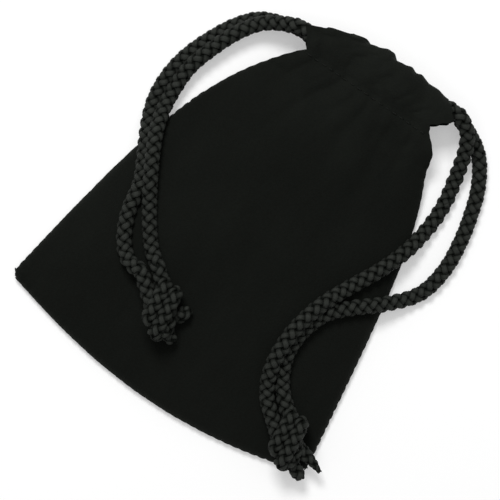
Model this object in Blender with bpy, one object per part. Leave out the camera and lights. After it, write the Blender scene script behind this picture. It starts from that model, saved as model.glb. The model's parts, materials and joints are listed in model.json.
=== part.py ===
"""Black velveteen dice bag lying on its back, with its mouth drawn shut by two knotted cords.

Metres, +Z up, +Y toward the mouth, origin on the floor under the middle of the bag.
The front of the neck swings up about the shoulder line to open the mouth, and the knotted end of
each drawcord then runs in toward the casings.
"""

import math

import bmesh
import bpy
from mathutils import Vector

MM = 0.001

# Cloth, cord and thread
FABRIC = 1.0 * MM
CORD = 4.6 * MM
THREAD = 0.7 * MM
CLEARANCE = 0.3 * MM

# Outline of the bag, seen from above
BAG_WIDTH = 102 * MM
BAG_LENGTH = 123 * MM
BOTTOM_BOW = 8.6 * MM
NECK_WIDTH = 42 * MM
NECK_LEAN = 2.85 * MM
SIDE_TAPER = 0.58
LEFT_SIDE_POWER = 1.35
RIGHT_SIDE_POWER = 1.0
SHOULDER_POWER = 6
SHOULDER_LINE = 0.755

# Height of the empty bag
BELLY_HEIGHT = 13 * MM
BELLY_START = 0.42
PILLOW_POWER = 2.6
MOUTH_GAP = 1.5 * MM

# Seams and gathers
SEAM_PLIES = 1.6 * MM
SEAM_ALLOWANCE = 5 * MM
PLEATS = 6
PLEAT_DEPTH = 1.2 * MM
RUFFLE = 0.5 * MM
SEAM_END = 0.97
STITCH_OFFSET = 1.2 * MM

# Ends of the casings: each cord leaves from one lane and turns back in the other
CASING_OVERHANG = 3.2 * MM
LEFT_SETBACK = 17 * MM
RIGHT_SETBACK = 10.5 * MM

# Knots: half sizes along, across and up, as shares of the cord's diameter
KNOT_HALF_SIZE = (1.9, 1.3, 1.1)
KNOT_LOBES = 3
LOBE_DEPTH = 0.12
LOBE_TWIST = 3.0
LEFT_KNOT = (-10.6 * MM, -36.4 * MM)
LEFT_KNOT_HEADING = math.radians(-34)
RIGHT_KNOT = (40.4 * MM, -46.9 * MM)
RIGHT_KNOT_HEADING = math.radians(-38)

# Routes of the free strands from casing to knot, x and y in mm
LEFT_BACK_ROUTE = [
    (-28.0, 51.1), (-34.5, 48.3), (-39.2, 43.0), (-42.9, 36.1), (-45.9, 28.2), (-47.2, 20.9),
    (-46.9, 13.3), (-45.1, 7.2), (-42.3, 1.5), (-39.1, -4.1), (-35.8, -10.9), (-34.3, -18.3),
    (-31.9, -24.3), (-28.9, -28.6), (-25.0, -31.2),
]
LEFT_FRONT_ROUTE = [
    (-28.2, 50.4), (-33.5, 46.9), (-37.7, 40.8), (-40.9, 33.2), (-43.2, 25.3), (-43.4, 17.5),
    (-42.5, 10.4), (-40.5, 4.1), (-37.5, -1.9), (-34.2, -7.7), (-30.5, -13.6), (-26.6, -19.3),
    (-22.1, -24.6),
]
RIGHT_BACK_ROUTE = [
    (35.4, 54.9), (39.6, 52.2), (42.8, 48.6), (45.9, 43.1), (47.9, 37.5), (50.1, 28.8), (51.1, 18.6),
    (49.1, 8.8), (42.4, 0.7), (34.9, -5.8), (29.7, -11.5), (27.3, -17.6), (26.6, -23.8), (27.5, -29.1),
    (29.7, -33.9),
]
RIGHT_FRONT_ROUTE = [
    (33.3, 55.0), (36.0, 50.8), (37.6, 45.9), (38.8, 41.3), (40.1, 34.6), (40.3, 26.7), (38.8, 17.2),
    (35.4, 7.8), (31.0, -1.1), (27.6, -8.4), (25.6, -14.6), (24.5, -21.2), (24.5, -26.6), (25.0, -31.2),
    (26.5, -36.4),
]
RAMP = 0.5
CORD_STEP = 4.6 * MM

# The cut ends beyond each knot: where on the knot each starts, and its tip in mm
LEFT_TAIL_ENDS = {"upper": (0.62, 0.78, (-1.4, -31.8)), "lower": (0.95, -0.30, (-1.2, -45.2))}
RIGHT_TAIL_ENDS = {"upper": (0.90, 0.44, (54.1, -50.1)), "lower": (0.92, -0.38, (51.3, -55.6))}

# Sizes that follow
CASING_RADIUS = CORD / 2 + CLEARANCE
CASING_DEPTH = 2 * (CASING_RADIUS + FABRIC + RUFFLE)
LANE = (CORD + CLEARANCE) / 2
CASING_HEIGHT = 2 * LANE + CASING_DEPTH
BACK_CASING_Z = CASING_DEPTH / 2
FRONT_CASING_END_Z = BACK_CASING_Z + CASING_DEPTH + CLEARANCE
FRONT_CASING_MIDDLE_Z = BACK_CASING_Z + CASING_DEPTH + MOUTH_GAP
EDGE_HEIGHT = 2 * FABRIC + 2 * CLEARANCE + SEAM_PLIES
NECK_EDGE_HEIGHT = CASING_DEPTH + CLEARANCE + FABRIC
NECK_HEIGHT = FRONT_CASING_MIDDLE_Z + FABRIC / 2
Y_BOTTOM = -BAG_LENGTH / 2
Y_CORNER = Y_BOTTOM + BOTTOM_BOW
Y_TOP = BAG_LENGTH / 2
Y_CASING = Y_TOP - CASING_HEIGHT / 2
Y_NECK = Y_TOP - CASING_HEIGHT - CLEARANCE
Y_SHOULDER = Y_CORNER + SHOULDER_LINE * (Y_NECK - Y_CORNER)
CASING_LEFT = NECK_LEAN - NECK_WIDTH / 2 - CASING_OVERHANG
CASING_RIGHT = NECK_LEAN + NECK_WIDTH / 2 + CASING_OVERHANG
SEAM_INSET = THREAD + 3 * CLEARANCE
SEAM_REACH = SEAM_INSET + SEAM_ALLOWANCE + 2 * CLEARANCE
SIDE_SEAM_START = SEAM_REACH / (Y_NECK - Y_CORNER)

VELVETEEN = ("velveteen", (0.012, 0.013, 0.012), 0.95)
BRAID = ("braided_cord", (0.022, 0.023, 0.022), 0.75)
STITCHING = ("thread", (0.016, 0.017, 0.016), 0.7)


def ease(value, low, high):
    """Smooth step from 0 at low to 1 at high."""
    share = min(1.0, max(0.0, (value - low) / (high - low)))
    return share * share * (3 - 2 * share)


def side_x(side, t):
    """x of the left (-1) or right (1) edge at t, which runs from 0 at the bottom corners to 1 at the neck."""
    power = LEFT_SIDE_POWER if side < 0 else RIGHT_SIDE_POWER
    narrowing = SIDE_TAPER * t**power + (1 - SIDE_TAPER) * t**SHOULDER_POWER
    wide = side * BAG_WIDTH / 2
    narrow = NECK_LEAN + side * NECK_WIDTH / 2
    return wide + (narrow - wide) * narrowing


def half_width(t):
    return (side_x(1, t) - side_x(-1, t)) / 2


def middle_x(t):
    return (side_x(1, t) + side_x(-1, t)) / 2


def bottom_y(u):
    """The bowed bottom edge; u runs from -1 to 1 between the side seams."""
    return Y_CORNER - BOTTOM_BOW * (1 - u * u)


def on_bag(u, t):
    """x and y of the place u across and t along the bag."""
    x = middle_x(t) + u * half_width(t)
    if t >= SHOULDER_LINE:
        return x, Y_CORNER + t * (Y_NECK - Y_CORNER)
    low = bottom_y(u)
    return x, low + t / SHOULDER_LINE * (Y_SHOULDER - low)


def place_on_bag(x, y):
    """The u and t of a point seen from above; beyond the bag u is past 1 or t past its ends."""
    u = 0.0
    t = 0.0
    for _ in range(8):
        if y >= Y_SHOULDER:
            t = (y - Y_CORNER) / (Y_NECK - Y_CORNER)
        else:
            low = bottom_y(max(-1.0, min(1.0, u)))
            t = SHOULDER_LINE * (y - low) / (Y_SHOULDER - low)
        kept = max(0.0, min(1.0, t))
        u = (x - middle_x(kept)) / half_width(kept)
    return u, t


def front_height(u, t):
    """Height of the front cloth's outer face, without its pleats."""
    rise = 1 - max(0.0, 1 - t / BELLY_START) ** 2
    middle = EDGE_HEIGHT + (BELLY_HEIGHT - EDGE_HEIGHT) * rise
    middle += (NECK_HEIGHT - BELLY_HEIGHT) * ease(t, 0.6, 1.0)
    edge = EDGE_HEIGHT + (NECK_EDGE_HEIGHT - EDGE_HEIGHT) * ease(t, SHOULDER_LINE, 1.0)
    return edge + (middle - edge) * (1 - abs(u) ** PILLOW_POWER)


def pleat(u, t):
    """Depth of the gathers below the front cloth's outer face, growing toward the casing."""
    wave = 0.5 - 0.5 * math.cos(math.pi * PLEATS * (u + 1))
    return PLEAT_DEPTH * wave * ease(t, SHOULDER_LINE, 1.0)


def floor_or_cloth(x, y):
    """Height of what a cord lies on."""
    u, t = place_on_bag(x, y)
    if abs(u) > 1 or t < 0 or t > 1:
        return 0.0
    return front_height(u, t) + CLEARANCE


def lying_height(x, y, radius):
    """Height of the centre of a ball of this radius that lies on the floor or the bag."""
    best = 0.0
    for ring in (0.0, 0.4, 0.75, 1.0):
        for k in range(12):
            angle = math.tau * k / 12
            dx = ring * radius * math.cos(angle)
            dy = ring * radius * math.sin(angle)
            drop = radius * math.sqrt(1 - ring * ring)
            best = max(best, floor_or_cloth(x + dx, y + dy) + drop)
    return best


def smooth_curve(points, step):
    """Points about a step apart on a smooth curve through the given points."""
    padded = [2 * points[0] - points[1], *points, 2 * points[-1] - points[-2]]
    found = []
    for before, start, end, after in zip(padded, padded[1:], padded[2:], padded[3:]):
        count = max(1, round((end - start).length / step))
        for i in range(count):
            s = i / count
            leave = (end - before) / 2
            arrive = (after - start) / 2
            found.append(
                (2 * s**3 - 3 * s**2 + 1) * start + (s**3 - 2 * s**2 + s) * leave
                + (3 * s**2 - 2 * s**3) * end + (s**3 - s**2) * arrive
            )
    return [*found, points[-1]]


def over_cord(place, below):
    """Height of a cord's middle where it lies on a cord that was laid before; 0 where it passes beside it."""
    reach = CORD + CLEARANCE
    best = 0.0
    for start, end in zip(below, below[1:]):
        run = end.xy - start.xy
        share = (place.xy - start.xy).dot(run) / run.length_squared
        near = start.lerp(end, max(0.0, min(1.0, share)))
        aside = (place.xy - near.xy).length
        if aside < reach:
            best = max(best, near.z + math.sqrt((1 + RAMP**2) * (reach**2 - aside**2)))
    return best


def lay_cord(mouth, lead, route, last, stop, below=()):
    """Points of a cord from its casing to its knot, straight at both ends and lying along a route between."""
    start = mouth + lead
    end = stop - last
    flat = [start.xy.to_3d()]
    flat += [Vector((x, y, 0)) * MM for x, y in route]
    flat += [end.xy.to_3d()]
    flat = smooth_curve(flat, MM)
    heights = [max(lying_height(p.x, p.y, CORD / 2), over_cord(p, below)) for p in flat]
    heights[0] = start.z
    heights[-1] = end.z
    travelled = [0.0]
    for here, following in zip(flat, flat[1:]):
        travelled.append(travelled[-1] + (following.xy - here.xy).length)
    points = []
    wanted = 0.0
    gap = travelled[-1] / round(travelled[-1] / CORD_STEP)
    for p, along in zip(flat, travelled):
        if along >= wanted - 1e-9:
            z = max(h - RAMP * abs(along - other) for h, other in zip(heights, travelled))
            points.append(Vector((p.x, p.y, z)))
            wanted += gap
    points[0] = start
    points[-1] = end
    return [mouth, *points, stop]


def new_material(name, colour, roughness):
    material = bpy.data.materials.new(name)
    material.use_nodes = True
    shader = material.node_tree.nodes["Principled BSDF"]
    shader.inputs["Base Color"].default_value = (*colour, 1)
    shader.inputs["Roughness"].default_value = roughness
    shader.inputs["Metallic"].default_value = 0
    return material


def add_piece(name, data, finish, parent=None):
    """Put a mesh or curve into the scene as a named piece with its own material."""
    label, colour, roughness = finish
    data.materials.append(new_material(f"{name}_{label}", colour, roughness))
    piece = bpy.data.objects.new(name, data)
    bpy.context.scene.collection.objects.link(piece)
    if parent:
        piece.parent = parent
        piece.matrix_parent_inverse = parent.matrix_world.inverted()
    return piece


def add_empty(name, place):
    empty = bpy.data.objects.new(name, None)
    empty.empty_display_size = 10 * MM
    empty.location = place
    bpy.context.scene.collection.objects.link(empty)
    bpy.context.view_layer.update()
    return empty


def finish_mesh(name, bm):
    bmesh.ops.recalc_face_normals(bm, faces=bm.faces)
    if bm.calc_volume(signed=True) < 0:
        bmesh.ops.reverse_faces(bm, faces=bm.faces)
    mesh = bpy.data.meshes.new(name)
    bm.to_mesh(mesh)
    bm.free()
    mesh.shade_smooth()
    return mesh


def thicken_down(bm, thickness):
    """Make a solid of an open sheet by extruding it straight down."""
    copied = bmesh.ops.extrude_face_region(bm, geom=bm.faces[:])["geom"]
    moved = [item for item in copied if isinstance(item, bmesh.types.BMVert)]
    bmesh.ops.translate(bm, verts=moved, vec=(0, 0, -thickness))


def add_front_cloth(name, columns, rows, first, last, pleated, parent=None):
    """A domed sheet of the front between two places along the bag."""
    bm = bmesh.new()
    bmesh.ops.create_grid(bm, x_segments=columns, y_segments=rows, size=1)
    for vertex in bm.verts:
        u = vertex.co.x
        t = first + (last - first) * (vertex.co.y + 1) / 2
        x, y = on_bag(u, t)
        z = front_height(u, t)
        if pleated:
            z -= pleat(u, t)
        vertex.co = (x, y, z)
    thicken_down(bm, FABRIC)
    return add_piece(name, finish_mesh(name, bm), VELVETEEN, parent)


def add_back_panel():
    """The flat back, from the bottom edge to the back casing."""
    steps = 20
    outline = [on_bag(-1 + 2 * i / steps, 0) for i in range(steps)]
    outline += [on_bag(1, i / steps) for i in range(steps + 1)]
    outline += [on_bag(-1, 1 - i / steps) for i in range(steps)]
    bm = bmesh.new()
    bm.faces.new([bm.verts.new((x, y, FABRIC)) for x, y in outline])
    thicken_down(bm, FABRIC)
    return add_piece("back_panel", finish_mesh("back_panel", bm), VELVETEEN)


def join_rings(bm, rings):
    """Vertices of each ring, with faces between neighbouring rings."""
    made = [[bm.verts.new(point) for point in ring] for ring in rings]
    for ring, following in zip(made, made[1:]):
        for i in range(len(ring)):
            j = (i + 1) % len(ring)
            bm.faces.new((ring[i], ring[j], following[j], following[i]))
    return made


def add_strip(name, sections):
    """A solid strip through four-cornered sections."""
    bm = bmesh.new()
    made = join_rings(bm, sections)
    bm.faces.new(made[0])
    bm.faces.new(made[-1])
    return add_piece(name, finish_mesh(name, bm), VELVETEEN)


def add_side_seam(name, side):
    """Turned-in seam allowance along one side, up into the tuck beside the neck."""
    steps = 18
    sections = []
    for i in range(steps + 1):
        t = SIDE_SEAM_START + (1 - SIDE_SEAM_START) * i / steps
        low = FABRIC + CLEARANCE
        high = front_height(1, t) - FABRIC - CLEARANCE
        outer, y = on_bag(side, t)
        outer -= side * SEAM_INSET
        inner = outer - side * SEAM_ALLOWANCE
        sections.append([(outer, y, low), (inner, y, low), (inner, y, high), (outer, y, high)])
    return add_strip(name, sections)


def add_bottom_seam():
    """Turned-in seam allowance along the bottom edge."""
    steps = 20
    reach = (half_width(SIDE_SEAM_START) - SEAM_INSET) / half_width(0)
    low = FABRIC + CLEARANCE
    high = low + SEAM_PLIES
    sections = []
    for i in range(steps + 1):
        x, y = on_bag(reach * (2 * i / steps - 1), 0)
        outer = y + SEAM_INSET
        inner = outer + SEAM_ALLOWANCE
        sections.append([(x, outer, low), (x, inner, low), (x, inner, high), (x, outer, high)])
    return add_strip("bottom_seam", sections)


def casing_span(across):
    """Left and right ends of both casings at a place across them, from the neck to the lip.

    Each end stands out where its own cord leaves and is set back where the other cord turns.
    """
    left = CASING_LEFT + LEFT_SETBACK * ease(across, -LANE, -CLEARANCE)
    right = CASING_RIGHT - RIGHT_SETBACK * ease(-across, -LANE, -CLEARANCE)
    return left, right


def stadium(radius):
    """Corners of a rounded slot round both lanes, as places across and up."""
    corners = []
    for side in (1, -1):
        for k in range(8):
            angle = math.pi * ((k + 0.5) / 8 - 0.5)
            corners.append((side * (LANE + radius * math.cos(angle)), side * radius * math.sin(angle)))
        corners.append((side * CLEARANCE, side * radius))
        corners.append((-side * CLEARANCE, side * radius))
    return corners


def front_casing_z(x):
    """Height of the front casing's middle line, which arches over the closed mouth."""
    middle = (CASING_LEFT + CASING_RIGHT) / 2
    reach = (CASING_RIGHT - CASING_LEFT) / 2
    arch = max(0.0, 1 - ((x - middle) / reach) ** 2)
    return FRONT_CASING_END_Z + (FRONT_CASING_MIDDLE_Z - FRONT_CASING_END_Z) * arch


def back_casing_z(x):
    return BACK_CASING_Z


def add_casing(name, middle_z, parent=None):
    """A gathered sleeve with room for two cords side by side, open at both ends."""
    stations = 6 * PLEATS
    outer = []
    inner = []
    for i in range(stations + 1):
        share = i / stations
        ruffle = RUFFLE * (0.5 + 0.5 * math.cos(math.tau * PLEATS * share))
        walls = ((outer, CASING_RADIUS + FABRIC + ruffle), (inner, CASING_RADIUS))
        for rings, radius in walls:
            ring = []
            for across, up in stadium(radius):
                left, right = casing_span(across)
                x = left + (right - left) * share
                ring.append((x, Y_CASING + across, middle_z(x) + up))
            rings.append(ring)
    bm = bmesh.new()
    skin = join_rings(bm, outer)
    bore = join_rings(bm, inner)
    for end in (0, -1):
        for i in range(len(skin[end])):
            bm.faces.new((skin[end][i - 1], skin[end][i], bore[end][i], bore[end][i - 1]))
    return add_piece(name, finish_mesh(name, bm), VELVETEEN, parent)


def add_tube(name, points, diameter, finish, resolution, parent=None):
    """A cord or thread along the points, with closed ends."""
    curve = bpy.data.curves.new(name, "CURVE")
    curve.dimensions = "3D"
    curve.bevel_depth = diameter / 2
    curve.bevel_resolution = resolution
    curve.render_resolution_u = 0
    curve.use_fill_caps = True
    spline = curve.splines.new("POLY")
    spline.points.add(len(points) - 1)
    for target, point in zip(spline.points, points):
        target.co = (*point, 1)
    return add_piece(name, curve, finish, parent)


def add_cord_loop(name, lane, exit_x, turn_x):
    """The hidden run of one cord: through the front casing, round the far end and back."""
    y = Y_CASING + lane * LANE
    away = math.copysign(1, turn_x - exit_x)
    runs = 10
    along = [exit_x + (turn_x - exit_x) * i / runs for i in range(runs + 1)]
    front = [Vector((x, y, front_casing_z(x))) for x in along]
    back = [Vector((x, y, BACK_CASING_Z)) for x in reversed(along)]
    radius = (front[-1].z - BACK_CASING_Z) / 2
    bend = []
    for i in range(9):
        angle = math.pi * i / 8
        x = turn_x + away * (CLEARANCE + radius * math.sin(angle))
        bend.append(Vector((x, y, BACK_CASING_Z + radius * (1 + math.cos(angle)))))
    return add_tube(name, front + bend + back, CORD, BRAID, 2)


def casing_exit(x, lane, z):
    """Where a free strand starts, just outside the end of its casing."""
    return Vector((x, Y_CASING + lane * LANE, z))


class Knot:
    """A tied lump of both strands, lying on the front of the bag."""

    def __init__(self, place, heading):
        self.along = Vector((math.cos(heading), math.sin(heading), 0))
        self.across = Vector((-math.sin(heading), math.cos(heading), 0))
        self.centre = Vector((*place, 0))
        lowest = 0.0
        for i in range(9):
            for k in range(24):
                tilt = math.pi / 2 * i / 8
                turn = math.tau * k / 24
                level = math.cos(tilt)
                ball = Vector((math.cos(turn) * level, math.sin(turn) * level, -math.sin(tilt)))
                point = self.surface(ball)
                lowest = max(lowest, floor_or_cloth(point.x, point.y) - point.z)
        self.centre.z = lowest

    def surface(self, ball):
        """The knot's outer face in the direction of a point on a unit ball."""
        turn = math.atan2(ball.z, ball.y)
        lobe = 1 + LOBE_DEPTH * math.sin(KNOT_LOBES * turn + LOBE_TWIST * ball.x) * (1 - ball.x**2)
        length, width, height = (CORD * share * lobe for share in KNOT_HALF_SIZE)
        offset = self.along * ball.x * length + self.across * ball.y * width
        return self.centre + offset + Vector((0, 0, ball.z * height))

    def entry(self, side):
        """Where a strand stops at the knot; side is 1 or -1 across it."""
        end = self.surface(Vector((-1, 0, 0))) - self.along * CLEARANCE
        return end + self.across * side * LANE

    def add(self, name, parent):
        bm = bmesh.new()
        bmesh.ops.create_uvsphere(bm, u_segments=28, v_segments=14, radius=1)
        for vertex in bm.verts:
            vertex.co = self.surface(Vector((vertex.co.z, vertex.co.x, vertex.co.y)))
        return add_piece(name, finish_mesh(name, bm), BRAID, parent)

    def add_tail(self, name, ahead, aside, tip, parent):
        """A cut end that leaves the knot and droops toward its tip."""
        ball = Vector((ahead, aside, 0)).normalized()
        length, width, _ = KNOT_HALF_SIZE
        outward = (self.along * ball.x / length + self.across * ball.y / width).normalized()
        mouth = self.surface(ball) + outward * 2 * CLEARANCE
        start = mouth + outward * CORD / 3
        end = Vector((tip[0] * MM, tip[1] * MM, 0))
        points = [mouth, start]
        for share in (0.5, 1.0):
            point = start.lerp(end, share)
            droop = start.z - RAMP * (point.xy - start.xy).length
            point.z = max(droop, lying_height(point.x, point.y, CORD / 2))
            points.append(point)
        return add_tube(name, points, CORD, BRAID, 2, parent)


def add_seam_stitching():
    """The thread that runs down one side, along the bottom and up the other side between the panels."""
    steps = 18
    inset = CLEARANCE + THREAD / 2
    z = EDGE_HEIGHT / 2
    points = []
    for side, order in ((-1, range(steps, 0, -1)), (0, range(steps + 1)), (1, range(1, steps + 1))):
        for i in order:
            if side:
                x, y = on_bag(side, SEAM_END * i / steps)
                points.append(Vector((x - side * inset, y, z)))
            else:
                x, y = on_bag(SEAM_END * (2 * i / steps - 1), 0)
                points.append(Vector((x, y + inset, z)))
    return add_tube("seam_stitching", points, THREAD, STITCHING, 1)


def add_casing_stitching(name, height, stop, parent=None):
    """The row of stitches below one casing, lying on the cloth and ending short of its edges."""
    t = 1 - STITCH_OFFSET / (Y_NECK - Y_CORNER)
    reach = 1 - stop / half_width(t)
    count = 6 * PLEATS
    points = []
    for i in range(count + 1):
        u = reach * (2 * i / count - 1)
        x, y = on_bag(u, t)
        points.append(Vector((x, y, height(u, t) + CLEARANCE + THREAD)))
    return add_tube(name, points, THREAD, STITCHING, 1, parent)


def pleated_front(u, t):
    return front_height(u, t) - pleat(u, t)


def inside_of_back(u, t):
    return FABRIC


for old in list(bpy.data.objects):
    bpy.data.objects.remove(old)

# Cloth that stays down: back, lower front, back casing and the seams between them
add_back_panel()
add_front_cloth("front_panel", 22, 14, 0.0, SHOULDER_LINE, False)
add_casing("back_casing", back_casing_z)
add_side_seam("left_side_seam", -1)
add_side_seam("right_side_seam", 1)
add_bottom_seam()
add_seam_stitching()
add_casing_stitching("back_casing_stitching", inside_of_back, SEAM_REACH)

# Front of the neck, which swings up about the shoulder line
mouth_hinge = add_empty("mouth_hinge", (0, Y_SHOULDER, front_height(0, SHOULDER_LINE)))
neck_start = SHOULDER_LINE + CLEARANCE / (Y_NECK - Y_CORNER)
add_front_cloth("front_neck", 6 * PLEATS, 6, neck_start, 1.0, True, mouth_hinge)
add_casing("front_casing", front_casing_z, mouth_hinge)
add_casing_stitching("front_casing_stitching", pleated_front, SEAM_INSET, mouth_hinge)

# The two cords: each runs through both casings and ends in one knot
left_knot = Knot(LEFT_KNOT, LEFT_KNOT_HEADING)
right_knot = Knot(RIGHT_KNOT, RIGHT_KNOT_HEADING)
DRAWCORDS = {
    "left": (-1, CASING_LEFT, left_knot, LEFT_FRONT_ROUTE, LEFT_BACK_ROUTE, LEFT_TAIL_ENDS),
    "right": (1, CASING_RIGHT, right_knot, RIGHT_FRONT_ROUTE, RIGHT_BACK_ROUTE, RIGHT_TAIL_ENDS),
}
for label, (lane, exit_x, knot, front_route, back_route, tail_ends) in DRAWCORDS.items():
    turn_x = casing_span(lane * LANE)[1 if lane < 0 else 0]
    add_cord_loop(f"{label}_cord_loop", lane, exit_x, turn_x)
    pull = add_empty(f"{label}_pull", knot.centre)
    outside = exit_x + lane * CLEARANCE
    lead = Vector((lane * CORD / 2, 0, 0))
    front_mouth = casing_exit(outside, lane, FRONT_CASING_END_Z)
    back_mouth = casing_exit(outside, lane, BACK_CASING_Z)
    last = knot.along * CORD / 2
    back_points = lay_cord(back_mouth, lead, back_route, last, knot.entry(lane))
    front_points = lay_cord(front_mouth, lead, front_route, last, knot.entry(-lane), back_points)
    add_tube(f"{label}_front_strand", front_points, CORD, BRAID, 2)
    add_tube(f"{label}_back_strand", back_points, CORD, BRAID, 2)
    knot.add(f"{label}_knot", pull)
    for end, (ahead, aside, tip) in tail_ends.items():
        knot.add_tail(f"{label}_{end}_tail", ahead, aside, tip, pull)
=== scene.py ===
"""Looks of the black velveteen dice bag: gathered cloth, plaited cords, tied knots and stitches.

Metres in the frame of the CAD model: the bag lies on its back on the floor, with its mouth toward +Y.
"""

import json
import math

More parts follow.
